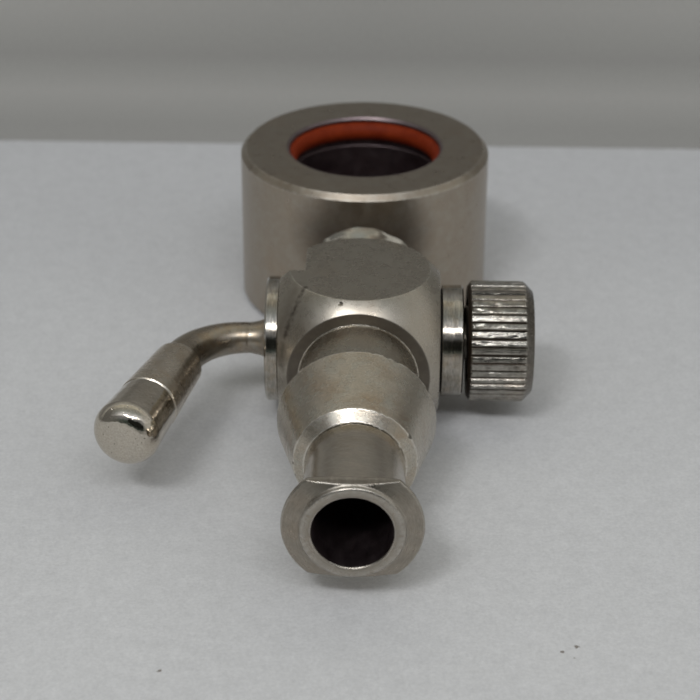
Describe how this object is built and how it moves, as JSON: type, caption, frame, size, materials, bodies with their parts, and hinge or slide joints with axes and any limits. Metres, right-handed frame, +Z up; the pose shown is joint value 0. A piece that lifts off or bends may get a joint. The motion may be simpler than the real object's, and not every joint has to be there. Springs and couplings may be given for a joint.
{
  "type": "lever stopcock with sealing ring and luer outlet",
  "caption": "Quarter-turn taper-plug stopcock: a bent lever turns the plug, between a sealing ring with rubber seals and a female Luer-lock outlet.",
  "frame": {"origin": "centre of the valve body's lower flat, 5 mm under the point where the plug's axis crosses the flow axis", "axes": "+Y along the flow axis from the Luer outlet to the sealing ring, +X along the plug's axis from the lever to the knurled nut, +Z up along the sealing ring's axis"},
  "size_m": [0.0262, 0.0482, 0.0111],
  "materials": {
    "satin_nickel": "satin, fine blasted nickel plate",
    "polished_nickel": "polished, worn on the edges",
    "spring_steel": "bright drawn wire",
    "red_silicone": "matt moulded silicone",
    "black_ptfe": "matt filled PTFE"
  },
  "bodies": {
    "valve": {"valve_body": "satin_nickel", "outlet_seal": "black_ptfe", "outlet_cone": "satin_nickel", "luer_hub": "satin_nickel", "collar_ring": "satin_nickel", "upper_bore_seal": "red_silicone", "lower_bore_seal": "red_silicone", "neck_tube": "satin_nickel", "neck_ferrule": "polished_nickel"},
    "turning_plug": {"plug": "polished_nickel", "lever_disc": "polished_nickel", "stop_lug": "polished_nickel", "lever_arm": "satin_nickel", "lever_sleeve": "satin_nickel", "lever_tip": "polished_nickel", "thrust_washer": "black_ptfe", "keyed_collar": "polished_nickel", "spring": "spring_steel"},
    "seat": {"spring_seat": "spring_steel"},
    "nut": {"knurled_nut": "polished_nickel"}
  },
  "joints": [
    {"name": "lever_turn", "type": "hinge", "parent": "valve", "child": "turning_plug", "pos_m": [0, 0, 0.005], "axis": [-1, 0, 0], "range_deg": [0, 90]},
    {"name": "nut_travel", "type": "slide", "parent": "turning_plug", "child": "seat", "axis": [1, 0, 0], "range_m": [-0.00022, 0.0009], "deforming": ["spring"]},
    {"name": "nut_turn", "type": "hinge", "parent": "seat", "child": "nut", "pos_m": [0, 0, 0.005], "axis": [1, 0, 0], "range_deg": [-180, 720]}
  ],
  "couplings": [
    {"joint": "nut_turn", "follows": "nut_travel", "rad_per_m": 13963}
  ]
}
